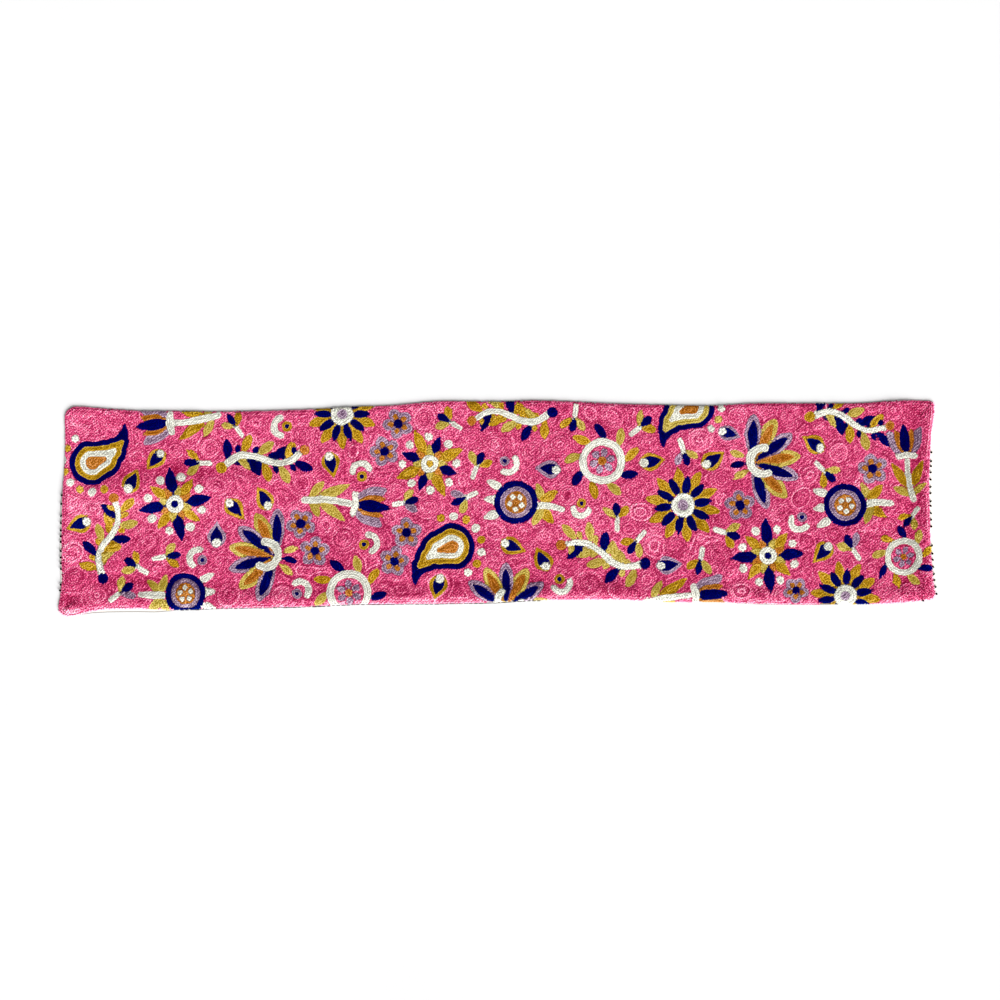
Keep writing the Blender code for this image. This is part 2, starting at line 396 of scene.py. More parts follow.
class Pen:
    """Draws shapes in a motif's own millimetres, at a place, a turn in degrees and a scale."""

    def __init__(self, design, x, y, turn=0.0, scale=1.0):
        self.design = design
        self.middle = np.array([x, y])
        self.turn = math.radians(turn)
        self.size = scale * 0.001

    def draw(self, p, q, reach, thread, test):
        """Paints where test(p, q) holds, within a reach of a point."""
        middle = self.middle + self.size * np.array(turned(p, q, -self.turn))

        def in_world(places):
            x = (places[..., 0] - self.middle[0]) / self.size
            y = (places[..., 1] - self.middle[1]) / self.size
            return test(*turned(x, y, self.turn))

        self.design.paint(middle, reach * self.size, thread, in_world)

    def disc(self, p, q, radius, thread):
        self.draw(p, q, radius, thread, lambda a, b: (a - p) ** 2 + (b - q) ** 2 < radius**2)

    def leaf(self, start, angle, length, width, thread, belly=0.5, blunt=0.7):
        """A leaf from a distance out of the middle, or a point. Belly is where it is widest."""
        c, s = math.cos(math.radians(angle)), math.sin(math.radians(angle))
        p, q = start if isinstance(start, tuple) else (start * c, start * s)
        power = math.log(0.5) / math.log(belly)

        def test(a, b):
            along, across = turned(a - p, b - q, math.radians(angle))
            u = np.clip(along / length, 0, 1)
            return np.abs(across) < width / 2 * np.sin(math.pi * u**power) ** blunt

        self.draw(p + c * length / 2, q + s * length / 2, 0.6 * length, thread, test)

    def stem(self, points, thread):
        """A rounded band through points, each with its own width."""
        points = np.array(points, float)
        middle = (points[:, :2].min(axis=0) + points[:, :2].max(axis=0)) / 2
        reach = np.hypot(*(points[:, :2].max(axis=0) - middle)) + points[:, 2].max()

        def test(a, b):
            inside = np.zeros(a.shape, bool)
            for (p0, q0, w0), (p1, q1, w1) in zip(points, points[1:]):
                dp, dq = p1 - p0, q1 - q0
                share = np.clip(((a - p0) * dp + (b - q0) * dq) / (dp**2 + dq**2), 0, 1)
                far = np.hypot(a - p0 - share * dp, b - q0 - share * dq)
                inside |= far < (w0 + share * (w1 - w0)) / 2
            return inside

        self.draw(*middle, reach, thread, test)

    def ring(self, radius, width, thread, start=0.0, end=360.0, middle=(0, 0)):
        """A band round a middle, from one angle in degrees to another."""
        angles = np.radians(np.linspace(start, end, 25))
        p = middle[0] + radius * np.cos(angles)
        q = middle[1] + radius * np.sin(angles)
        self.stem(np.column_stack([p, q, np.full(25, width)]), thread)


def around(p, q, far, degrees):
    """The point that far from another one, at an angle."""
    angle = math.radians(degrees)
    return p + far * math.cos(angle), q + far * math.sin(angle)


# Large motifs, about 110 to 150 mm long. Each takes its two main colours

def vine(pen, one, two):
    """A branch bent like an S, with leaves by turns on either side and a berry at each end."""
    share = np.linspace(0, 1, 25)
    p = 138 * (share - 0.5)
    q = 13 * np.sin(2 * math.pi * share)
    for k in range(2, 22, 2):
        heading = math.degrees(math.atan2(q[k + 1] - q[k - 1], p[k + 1] - p[k - 1]))
        side = 1 if k % 4 else -1
        colour = (one, two, "olive")[k // 2 % 3]
        pen.leaf((p[k], q[k]), heading + 54 * side, 40, 16, colour, 0.6, 0.75)
        pen.leaf((p[k + 1], q[k + 1]), heading - 60 * side, 20, 9.5, two, 0.6)
    pen.stem(np.column_stack([p, q, 12.5 - 3 * share]), "ivory")
    pen.disc(-71, 0, 9.5, one)
    pen.disc(72, 0, 8.5, "orange")


def dahlia(pen, one, two):
    """Ten pointed petals over ten longer ones, round an ivory ring with a lilac heart."""
    for k in range(10):
        pen.leaf(16, 36 * k + 18, 45, 17, one, 0.55, 0.75)
    for k in range(10):
        pen.leaf(15, 36 * k, 33, 13.5, two, 0.5)
    pen.disc(0, 0, 19, "ivory")
    pen.disc(0, 0, 8.5, "lilac")


def tulip(pen, one, two):
    """A three-petalled cup on a bent ivory stem, with two long leaves and two short ones."""
    for side in (-1, 1):
        pen.leaf((-52, 0), side * 30, 62, 18, two, 0.45)
        pen.leaf((-64, 0), side * 56, 38, 14, "olive", 0.5)
    pen.stem([(-72, -5, 12), (-48, -1, 12), (-20, 1, 11), (16, 0, 10)], "ivory")
    for side in (-1, 1):
        pen.leaf((12, 0), side * 32, 62, 30, "lilac", 0.42)
    for side in (-1, 1):
        pen.leaf((15, 0), side * 18, 52, 20, "orange", 0.45)
    pen.leaf((14, 0), 0, 60, 20, one, 0.48)
    pen.stem([(12, -16, 11), (15, 0, 13), (12, 16, 11)], "ivory")


def paisley(pen, one, two):
    """A bent drop in nested bands, with a fringe of dots along its back."""
    spine = [(-26, -8, 80), (-4, -7, 66), (17, 1, 47), (34, 13, 28), (44, 28, 14), (47, 40, 6)]
    for k in range(8):
        pen.disc(*around(-26, -8, 52, 110 + 24 * k), 7.0, ("ivory", two)[k % 2])
    for k, colour in enumerate((one, two, "ivory", "orange")):
        band = [(p, q, w - 19 * k) for p, q, w in spine if w - 19 * k > 5]
        pen.stem(band if len(band) > 1 else [*band, (-22, -8, 20)], colour)


def star(pen, one, two):
    """Eight kites round an ivory disc, with an inner star, and a dot in each corner."""
    for k in range(8):
        long = k % 2 == 0
        pen.leaf(8, 45 * k, 54 if long else 42, 19 if long else 16, one if long else two, 0.5, 1.0)
    for k in range(8):
        pen.leaf(0, 45 * k + 22.5, 31, 12, ("orange", "olive")[k % 2], 0.5, 0.9)
    for k in range(8):
        pen.disc(*around(0, 0, 45, 45 * k + 22.5), 7.0, "ivory")
    pen.disc(0, 0, 14.5, "ivory")
    pen.disc(0, 0, 6, one)


def pomegranate(pen, one, two):
    """A round fruit in rings with seeds, a crown of three points and a leafy ivory stalk."""
    for side in (-1, 1):
        pen.leaf((-34, 0), side * 44 + 180, 42, 17, two, 0.5)
        pen.leaf((-44, 0), side * 66, 40, 15, "olive", 0.5)
    pen.stem([(-76, 4, 10), (-50, 0, 11.5), (-24, 0, 12)], "ivory")
    for angle in (-34, 0, 34):
        pen.leaf((30, 0.6 * angle), angle * 0.7, 30, 15, "ivory", 0.42)
    pen.disc(4, 0, 37, one)
    pen.disc(4, 0, 27, "lilac")
    pen.disc(4, 0, 19, "orange")
    for k in range(5):
        pen.disc(*around(4, 0, 10.8, 72 * k + 20), 4.8, "ivory")


def palmette(pen, one, two):
    """A fan of seven petals on a scalloped ground, over an ivory crescent with three drops."""
    for k in range(7):
        pen.leaf((-26, 0), 27 * (k - 3), 82, 27, ("lilac", "olive")[k % 2], 0.62, 0.6)
    for k in range(7):
        pen.leaf((-26, 0), 27 * (k - 3), 72, 15.5, (one, two)[k % 2], 0.64, 0.75)
    pen.ring(22, 12.5, "ivory", 75, 285, (-8, 0))
    for k in range(3):
        pen.leaf((-36, 11 * (k - 1)), 180 - 28 * (k - 1), 28, 12, ("olive", one)[k % 2], 0.55)


def wreath(pen, one, two):
    """An ivory ring with slanted leaves all round it and a flower within."""
    for k in range(9):
        pen.leaf(around(0, 0, 33, 40 * k), 40 * k + 42, 31, 14, (two, "olive", one)[k % 3], 0.55)
    pen.ring(30, 11.5, "ivory")
    for k in range(6):
        pen.leaf(3, 60 * k + 15, 18, 11, "lilac", 0.6)
    pen.disc(0, 0, 6.5, "orange")


# Small motifs, each within about 27 mm of its middle

def little_flower(pen, one, two):
    for k in range(5):
        pen.leaf(0, 72 * k, 27, 21, "lilac", 0.62, 0.6)
    for k in range(5):
        pen.leaf(0, 72 * k, 19, 9.5, "orange", 0.66, 0.6)
    pen.disc(0, 0, 8, one)


def three_buds(pen, one, two):
    pen.stem([(-21, 0, 9), (2, 0, 8.5)], "ivory")
    for angle, colour in ((-42, two), (0, one), (42, "olive")):
        pen.leaf((-2, angle * 0.06), angle, 28, 14, colour, 0.6)


def drop(pen, one, two):
    pen.leaf((-24, 0), 0, 48, 32, two, 0.62, 0.75)
    pen.leaf((-16, 0), 0, 37, 20, one, 0.62)
    pen.disc(15, 0, 7.5, "ivory")


def moon(pen, one, two):
    pen.ring(15, 11, "ivory", 100, 260)
    pen.disc(8, 0, 8.5, two)
    pen.disc(8, 0, 3.9, one)


# Where the large motifs go: along and across the runner, the turn in degrees and the scale
LAYOUT = [  # motif, x, y, turn, scale, and its two main colours if they aren't navy and gold
    (paisley, -0.682, 0.094, 16, 0.98),
    (vine, -0.676, -0.052, 82, 0.98),
    (tulip, -0.556, 0.150, 186, 0.98),
    (star, -0.560, 0.008, 10, 1.06),
    (pomegranate, -0.546, -0.148, 4, 0.96, "navy", "olive"),
    (vine, -0.408, 0.086, 12, 1.04, "gold", "navy"),
    (palmette, -0.412, -0.078, 168, 1.02, "navy", "orange"),
    (dahlia, -0.270, 0.164, 0, 1.02, "gold", "navy"),
    (tulip, -0.262, 0.010, -8, 1.02, "navy", "olive"),
    (wreath, -0.258, -0.146, 20, 1.10),
    (star, -0.118, 0.078, 24, 1.04, "gold", "navy"),
    (paisley, -0.104, -0.080, 192, 1.02),
    (vine, 0.026, 0.160, 186, 0.98),
    (pomegranate, 0.036, 0.010, 174, 1.02),
    (palmette, 0.026, -0.152, 62, 0.98, "navy", "orange"),
    (wreath, 0.182, 0.082, 0, 1.12),
    (vine, 0.184, -0.080, 168, 1.04, "navy", "olive"),
    (dahlia, 0.322, 0.006, 8, 1.08, "gold", "navy"),
    (paisley, 0.318, 0.160, 200, 0.96, "navy", "olive"),
    (tulip, 0.330, -0.152, 4, 0.98),
    (palmette, 0.470, 0.084, 8, 1.04, "navy", "orange"),
    (star, 0.470, -0.082, 4, 1.06),
    (vine, 0.612, 0.152, -6, 0.98, "gold", "navy"),
    (pomegranate, 0.608, 0.006, 186, 1.00),
    (dahlia, 0.604, -0.152, 12, 1.02, "gold", "navy"),
    (tulip, 0.712, 0.080, 96, 0.90),
    (wreath, 0.706, -0.084, 0, 0.92),
]
SMALL_MOTIFS = [little_flower, three_buds, drop, moon, three_buds, drop]


def free_spots(design, least, most, share):
    """The middles and radii of circles that fit between the motifs, the widest first."""
    room = CELL * distance_to(design.region != 0, 40)
    near = np.argwhere(room > least)
    near = near[np.argsort(-room[near[:, 0], near[:, 1]], kind="stable")]
    spots = []
    taken = np.zeros(MAP_SHAPE, bool)
    for i, j in near:
        if taken[i, j]:
            continue
        radius = min(room[i, j] * share, most)
        spots.append((LOW + CELL * np.array([j, i]), radius))
        reach = int((radius + least) / CELL)
        a, b = np.ogrid[-reach:reach + 1, -reach:reach + 1]
        disc = np.argwhere(a**2 + b**2 < reach**2) + (i - reach, j - reach)
        taken[on_map(disc)] = True
    return spots


# The least and most radius of a small motif's room, the most of which shows it in full size
SMALL_ROOM = (0.0245, 0.0290)
# Past here both along and across, a corner holds no small motif
PLAIN_CORNER = (0.68, 0.12)
# The least and most radius of a swirl, how much of its room it fills, how narrow and how strong
# it is from and to, and the share of the free spots that get none
SWIRL_ROOM = (0.0150, 0.0215)
SWIRL_FILL = 0.97
SWIRL_SQUEEZE = (0.76, 1.0)
SWIRL_STRENGTH = (0.2, 1.0)
PLAIN_SHARE = 0.20


def make_design():
    """The large motifs, small ones in the room they leave, and swirls on the ground."""
    design = Design()
    stitched_past = ROLL * (STITCHED_TURN - 1) - ROLL_INSET
    design.region[INWARD < -stitched_past] = -1
    for motif, x, y, turn, scale, *colours in LAYOUT:
        motif(Pen(design, x, y, turn, scale), *(colours or ("navy", "gold")))
    for k, (middle, radius) in enumerate(free_spots(design, *SMALL_ROOM, 1.0)):
        if (np.abs(middle) > PLAIN_CORNER).all():
            continue
        pen = Pen(design, *middle, (37 * k) % 360, radius / SMALL_ROOM[1])
        SMALL_MOTIFS[k % len(SMALL_MOTIFS)](pen, "navy", ("gold", "lilac")[k % 4 == 1])
    for middle, radius in free_spots(design, *SWIRL_ROOM, SWIRL_FILL):
        lean = rng.uniform(0, math.pi)
        squeeze = rng.uniform(*SWIRL_SQUEEZE)
        if rng.random() < PLAIN_SHARE:
            continue

        def test(places, middle=middle, radius=radius, lean=lean, squeeze=squeeze):
            along, across = turned(*np.moveaxis(places - middle, -1, 0), lean)
            return along**2 + (across / squeeze) ** 2 < radius**2

        strength = rng.choice([-1, 1]) * rng.uniform(*SWIRL_STRENGTH) ** 2
        design.paint(middle, radius, "pink", test, strength)
    return design


DESIGN = make_design()


def sewn_in(name):
    """Whether each region has the thread of that name."""
    return np.array([thread == name for thread in DESIGN.thread])


# Deeper than this in a region, from and to, the rows of stitches run rounder and wander, and how
# far they do and over what length
DEEP = (0.0030, 0.0090)
WANDER = (0.0016, 0.018)


def depth_in_region():
    """How far each cell is from its region's edge, a little softened."""
    edges = np.zeros(MAP_SHAPE, bool)
    for axis in range(2):
        for step in (-1, 1):
            edges |= np.roll(DESIGN.region, step, axis) != DESIGN.region
    depth = CELL * blurred(distance_to(edges, 60).astype(float) + 0.5, 0.9)
    rounder = blurred(depth, 3.0) + WANDER[0] * soft_noise(WANDER[1], 16)
    return depth + np.clip((depth - DEEP[0]) / (DEEP[1] - DEEP[0]), 0, 1) * (rounder - depth)


TO_EDGE = depth_in_region()


# The cloth's form under the stitches

def bell(distance, half_width):
    """Falls softly from 1 to 0 over a distance."""
    return np.exp(-(distance / half_width) ** 2)


# How sharply a hem falls to its edge, how full it is on the whole, how much that varies and over
# what length, and how far a long patch strays from its straight line and over what length
HEM_FALL = 2.8
HEM_FULLNESS = (0.88, 0.24, 0.070)
WAVER = (0.006, 0.035)


def hem_relief():
    """The soft roll just inside each edge, here fuller and there flatter."""
    facing = {"near": -OUT_Y, "far": OUT_Y, "right": OUT_X, "left": -OUT_X}
    usual, spread, length = HEM_FULLNESS
    fullness = usual + spread * soft_noise(length, 13)
    total = np.zeros(MAP_SHAPE)
    for side, (crest, height, edge, half_width) in HEMS.items():
        outer = np.clip((crest - INWARD) / crest, 0, 1) ** HEM_FALL
        inner = height * bell(INWARD - crest, half_width)
        roll = np.where(INWARD < crest, height + (edge - height) * outer, inner)
        total += np.clip(facing[side], 0, 1) ** 2 * fullness * roll
    return total


def soft_patches(table):
    """A map that adds up long soft patches, each with its own height."""
    total = np.zeros(MAP_SHAPE)
    x, y = MAP_PLACES.reshape(*MAP_SHAPE, 2).transpose(2, 0, 1)
    waver = WAVER[0] * soft_noise(WAVER[1], 14)
    for along, across, half_length, half_width, turn, height in table:
        p, q = turned(x - along, y - across, math.radians(turn))
        total += height * bell(q + waver, half_width) * bell(p, half_length)
    return total


# How high a region domes, how far in from its edge, and how much motifs and ivory rise over that
DOME = 0.00065
DOME_REACH = 0.0035
MOTIF_RISE = 0.00030
IVORY_RISE = 0.00050
# The cloth's soft waves, which fade out at its edge: height, size and seed of each
WAVES = [(0.00090, 0.042, 11), (0.00030, 0.018, 12)]
WAVES_FADE = 0.008


def relief_map():
    """How far the stitches stand up in the middle of each region, and the cloth's soft waves."""
    stitched = DESIGN.region > 0
    ivory = sewn_in("ivory")[DESIGN.region] & stitched
    dome = DOME * (1 - np.exp(-TO_EDGE / DOME_REACH))
    raised = MOTIF_RISE * stitched + IVORY_RISE * ivory
    waves = sum(height * soft_noise(size, seed) for height, size, seed in WAVES)
    waves *= 1 - bell(INWARD, WAVES_FADE)
    folds = np.maximum(waves + hem_relief() + soft_patches(RIDGES), LOWEST_RELIEF)
    return blurred(dome + raised, 1.5) + blurred(folds, 2.0)


def painted_light_and_mottle_map():
    """How much lighter or darker than usual the thread is painted at each place: painted light and
    shade over the folds, a painted highlight along the hem's rim where it faces the light, and
    random mottle.
    """
    # Painted highlight: the hem's rim is painted lighter on the near and right sides, which face
    # the light
    painted_highlight = np.minimum(np.clip(OUT_X, 0, 1) + np.clip(-OUT_Y, 0, 1), 1)
    painted_rim = PAINTED_RIM_HIGHLIGHT * painted_highlight * bell(np.maximum(INWARD, 0), PAINTED_RIM_REACH)
    return soft_patches(PAINTED_FOLD_SHADING) + painted_rim + MOTTLE * soft_noise(MOTTLE_SIZE, 15)


RELIEF = relief_map()
PAINTED_LIGHT_AND_MOTTLE = painted_light_and_mottle_map()


def on_cloth(places):
    """Where places of the flat cloth lie: on top of the runner, round its edge, or under it."""
    inward, out = from_outline(places, OUTLINE)
    turn = np.maximum((ROLL - inward + ROLL_INSET) / ROLL, 0)
    bent = np.minimum(turn, math.pi)
    under = np.maximum(turn - math.pi, 0) * ROLL
    now_inward = ROLL_INSET + ROLL * (1 - np.sin(bent)) + under
    now_inward = np.where(turn > 0, now_inward, inward)
    xy = places + out * (inward - now_inward)[:, None]
    height = read_map(FACE_HEIGHT, xy, COARSE * CELL)
    top = height - STITCH_DEPTH + read_map(RELIEF, places)
    low = height - STITCH_DEPTH - HEM_THICKNESS
    return np.column_stack([xy, (top + low) / 2 + (top - low) / 2 * np.cos(bent)])


# Rows of chain stitch along the contours of each region

def contour_lines(field, level):
    """The lines where a field crosses a level: points in cells, and whether each line closes."""
    above = field > level
    numbers, points = [], []
    for down, right in ((0, 1), (1, 0)):
        crossed = above[:len(above) - down, :above.shape[1] - right] != above[down:, right:]
        i, j = np.nonzero(crossed)
        u = (level - field[i, j]) / (field[i + down, j + right] - field[i, j])
        numbers.append(np.full(crossed.shape, -1))
        numbers[-1][i, j] = sum(map(len, points)) + np.arange(len(i))
        points.append(np.column_stack([j + right * u, i + down * u]))
    points = np.concatenate(points)
    on_row, on_column = numbers
    around = np.stack([on_row[:-1], on_column[:, :-1], on_row[1:], on_column[:, 1:]], axis=-1)
    count = (around >= 0).sum(axis=-1)
    pairs = [np.sort(around[count == 2], axis=1)[:, 2:]]
    pairs += [around[count == 4][:, k:k + 2] for k in (0, 2)]
    pairs = np.concatenate(pairs)
    ends, others = np.concatenate([pairs, pairs[:, ::-1]]).T
    order = np.argsort(ends, kind="stable")
    ends, others = ends[order], others[order]
    first = np.searchsorted(ends, np.arange(len(points)))
    last = np.searchsorted(ends, np.arange(len(points)), side="right") - 1
    return linked(points, others[first].tolist(), others[last].tolist())


def linked(points, one_way, other_way):
    """Lines of points, from each point's two neighbours. An end names one neighbour twice."""
    seen = [False] * len(points)
    ends = [k for k in range(len(points)) if one_way[k] == other_way[k]]
    lines = []
    for start in [*ends, *range(len(points))]:
        if seen[start]:
            continue
        line = [start]
        seen[start] = True
        here = one_way[start]
        while not seen[here]:
            line.append(here)
            seen[here] = True
            here = one_way[here] if not seen[one_way[here]] else other_way[here]
        closed = one_way[start] != other_way[start]
        lines.append((points[line], closed))
    return lines


def smoothed(line, closed, reach=3):
    """A line with each point moved to the average of its neighbours."""
    if len(line) < 2 * reach + 2:
        return line
    weights = np.ones(2 * reach + 1) / (2 * reach + 1)
    if closed:
        longer = np.concatenate([line[-reach:], line, line[:reach]])
    else:
        before = 2 * line[0] - line[reach:0:-1]
        after = 2 * line[-1] - line[-2:-reach - 2:-1]
        longer = np.concatenate([before, line, after])
    return np.column_stack([np.convolve(longer[:, k], weights, "valid") for k in range(2)])


def evenly(line, closed, spacing):
    """Places and headings along a line, and how far they are apart."""
    if closed:
        line = np.concatenate([line, line[:1]])
    steps = np.hypot(*np.diff(line, axis=0).T)
    along = np.concatenate([[0], np.cumsum(steps)])
    length = along[-1]
    if length < 0.45 * spacing:
        return None
    count = max(1, round(length / spacing))
    at = (np.arange(count) + 0.5) * length / count
    reach = 0.45 * length / count

    def read(where):
        if closed:
            where = where % length
        return np.column_stack([np.interp(where, along, line[:, k]) for k in range(2)])

    return read(at), read(at + reach) - read(at - reach), length / count


# How much a row's lightness differs from the next one's, on the ground and in the motifs, how
# much its height does, what a swirl's own turns add to both, and the share of that which its
# darker and lower rows have
GROUND_SPREAD = 0.08
MOTIF_SPREAD = 0.06
ROW_RISE = 0.00008
SWIRL_SHADE = 0.17
SWIRL_RISE = 0.00034
SWIRL_FALL = 0.3


def link_rows(places, headings, length, width, region, shade, rise=0.0):
    """A row of numbers for each link: its place, heading, length, width, region, shade, rise."""
    headings = headings / np.maximum(np.hypot(*headings.T), 1e-12)[:, None]
    rest = [np.full(len(places), value) for value in (length, width, region, shade, rise)]
    return np.column_stack([places, headings, *rest])


# The share of a row left over that makes one more, the least depth that a region counts as, in
# rows, and how much wider than usual a row may be
ROW_LEFT = 0.25
LEAST_DEPTH = 0.40
MOST_WIDTH = 1.15


def row_fields():
    """The map in rows from each region's edge, and each region's own row width."""
    regions = DESIGN.region
    deepest = np.zeros(len(DESIGN.thread))
    on = regions >= 0
    np.maximum.at(deepest, regions[on], TO_EDGE[on])
    rows = np.maximum(1, np.ceil(deepest / ROW - ROW_LEFT))
    widths = np.minimum(np.maximum(deepest, LEAST_DEPTH * ROW) / rows, MOST_WIDTH * ROW)
    return np.where(on, TO_EDGE / widths[regions], 0), widths, int(rows.max())


def stitched_rows():
    """The links along the contours of every region, and each region's own row width."""
    field, widths, most_rows = row_fields()
    links = []
    for k in range(most_rows):
        for line, closed in contour_lines(field, k + 0.5):
            i, j = np.round(line[len(line) // 2][::-1]).astype(int)
            region = DESIGN.region[i, j]
            if region < 0:
                continue
            places = LOW + CELL * smoothed(line, closed)
            spaced = evenly(places, closed, LINK)
            if spaced is None:
                continue
            turns = (1, -1)[k % 2] * DESIGN.swirl[region]
            turns = max(turns, SWIRL_FALL * turns)
            spread = GROUND_SPREAD if DESIGN.thread[region] == "pink" else MOTIF_SPREAD
            # A swirl's turns make alternate rows lighter and darker: partly the yarn's own shade,
            # partly painted sheen of rows worked in turn
            shade = rng.normal(0, spread) + SWIRL_SHADE * turns
            rise = rng.normal(0, ROW_RISE) + SWIRL_RISE * turns
            if rng.random() < 0.5:
                spaced = (spaced[0][::-1], -spaced[1][::-1], spaced[2])
            links.append(link_rows(*spaced, widths[region], region, shade, rise))
    return np.concatenate(links), widths


# Where along a link, in shares of its length, it covers the cloth. A gap is filled from so many
# cells off on, with links of shares of the usual length and width, a share of a link apart or
# more, and so much darker
COVERING = (-0.36, 0.0, 0.36)
GAP = 1.35
FILL_SIZE = (0.90, 0.85)
FILL_SPACING = 0.62
FILL_SHADE = -0.12


def fill_gaps(rows, widths):
    """The rows, and single links more where they leave the cloth bare."""
    covered = DESIGN.region < 0
    reach = 0.5 * ROW / CELL
    cells = np.arange(-3, 4)
    offsets = np.array([(a, b) for a in cells for b in cells if a * a + b * b < reach**2])
    for share in COVERING:
        at = rows[:, :2] + share * rows[:, 4:5] * rows[:, 2:4]
        covered[on_map(nearest_cells(at)[:, None] + offsets)] = True
    gap = distance_to(covered, 12)
    slope_y, slope_x = np.gradient(TO_EDGE)
    bare = np.argwhere(gap >= GAP)
    bare = bare[rng.permutation(len(bare))]
    bare = bare[np.argsort(-gap[bare[:, 0], bare[:, 1]], kind="stable")]
    taken = np.zeros(MAP_SHAPE, bool)
    spacing = int(FILL_SPACING * LINK / CELL)
    length = FILL_SIZE[0] * LINK
    fills = []
    for i, j in bare:
        if taken[i, j]:
            continue
        taken[max(i - spacing, 0):i + spacing + 1, max(j - spacing, 0):j + spacing + 1] = True
        heading = np.array([[-slope_y[i, j], slope_x[i, j]]])
        if not heading.any():
            heading = np.array([[1.0, 0.0]])
        region = DESIGN.region[i, j]
        place = LOW + CELL * np.array([[j, i]])
        width = FILL_SIZE[1] * widths[region]
        fills.append(link_rows(place, heading, length, width, region, FILL_SHADE))
    return np.concatenate([rows, *fills])


# One link: two plump legs, each with a tail, two rings of three points and a head. The columns
# are the place along the link and across it, the height, and how light the thread is painted there:
# a painted highlight on top, painted shade low on its sides, tail and head
LEG_POINTS = np.array([
    (-0.66, 0.10, 0.05, -0.25),
    (-0.30, 0.50, -0.30, -0.05),
    (-0.26, 0.25, 1.00, 1.00),
    (-0.30, -0.06, 0.20, 0.30),
    (0.30, 0.56, -0.30, -0.05),
    (0.26, 0.29, 1.00, 1.00),
    (0.30, -0.04, 0.20, 0.30),
    (0.62, 0.12, 0.10, -0.20),
])
# How far the two legs are shifted along the link, and how light each is painted: one leg in
# painted shade, as if lit from one side
LEG_SHIFT = 0.25
LEG_PAINTED_LIGHT = {-1: 1.0, 1: 0.72}
LEG_TOP = [(0, 1, 2), (0, 2, 3), (1, 2, 5), (1, 5, 4), (2, 3, 6), (2, 6, 5), (7, 4, 5), (7, 5, 6)]
LEG_UNDER = [(0, 3, 1), (3, 1, 4), (3, 4, 6), (7, 6, 4)]


def link_template():
    """A link's points and triangles, with its faces pointing out, and which are underneath."""
    points = []
    faces = []
    for side in (-1, 1):
        leg = LEG_POINTS * (1, side, 1, LEG_PAINTED_LIGHT[side]) + (side * LEG_SHIFT, 0, 0, 0)
        middle = leg[:, :3].mean(axis=0)
        for face in LEG_TOP + LEG_UNDER:
            a, b, c = leg[list(face), :3]
            outward = np.cross(b - a, c - a) @ ((a + b + c) / 3 - middle) > 0
            face = face if outward else face[::-1]
            faces.append([k + len(points) * len(LEG_POINTS) for k in face])
        points.append(leg)
    under = ([False] * len(LEG_TOP) + [True] * len(LEG_UNDER)) * 2
    return np.concatenate(points), np.array(faces), np.array(under)


# How much single links vary: their turn, place, length, width, height and lightness
VARY_TURN, VARY_PLACE, VARY_SIZE, VARY_HEIGHT, VARY_SHADE = 0.10, 0.00013, 0.06, 0.12, 0.08
# How much wider a link is than its row, and the limits of its height and its lightness
WIDER = 1.04
HEIGHT_LIMITS = (0.7, 1.1)
SHADE_LIMITS = (-0.3, 1.5)


def link_mesh(rows):
    """Points, lightness, triangles and which faces are underneath, for many links."""
    points, faces, under = link_template()
    n = len(rows)
    sway = rng.normal(0, VARY_TURN, n)
    c, s = np.cos(sway), np.sin(sway)
    heading = np.column_stack([rows[:, 2] * c - rows[:, 3] * s, rows[:, 2] * s + rows[:, 3] * c])
    left = np.column_stack([-heading[:, 1], heading[:, 0]])
    middle = rows[:, :2] + rng.normal(0, VARY_PLACE, (n, 2))
    step = 0.0005
    origin = on_cloth(middle)
    forward, across = (on_cloth(middle + step * way) - on_cloth(middle - step * way)
                       for way in (heading, left))
    up = np.cross(forward, across)
    up /= np.linalg.norm(up, axis=1)[:, None]
    forward /= np.linalg.norm(forward, axis=1)[:, None]
    across = np.cross(up, forward)
    length = rows[:, 4:5] * rng.normal(1.0, VARY_SIZE, (n, 1))
    width = rows[:, 5:6] * rng.normal(WIDER, VARY_SIZE, (n, 1))
    height = LINK_HEIGHT * rng.normal(1.0, VARY_HEIGHT, (n, 1))
    height *= np.clip(rows[:, 5:6] / ROW, *HEIGHT_LIMITS)
    spread = (
        forward[:, None] * (length * points[:, 0])[..., None]
        + across[:, None] * (width * points[:, 1])[..., None]
        + up[:, None] * (height * points[:, 2] + rows[:, 8:9])[..., None]
    )
    placed = (origin[:, None] + spread).reshape(-1, 3)
    placed[:, 2] = np.maximum(placed[:, 2], LOWEST_STITCH)
    # A link's lightness: its painted highlight and shade, its row's, the painted fold light and rim
    # highlight, and random variation
    least, gain = LINK_SHADE
    shade = least + gain * points[:, 3] + rows[:, 7:8] + read_map(PAINTED_LIGHT_AND_MOTTLE, rows[:, :2])[:, None]
    shade += rng.normal(0, VARY_SHADE, (n, 1))
    corners = faces + (len(points) * np.arange(n))[:, None, None]
    shade = np.clip(shade, *SHADE_LIMITS).reshape(-1)
    return placed, shade, corners.reshape(-1, 3), np.tile(under, n)


def new_object(name, data):
    """An object in the scene that shows a mesh, a light or a camera."""
    thing = bpy.data.objects.new(name, data)
    bpy.context.scene.collection.objects.link(thing)
    return thing


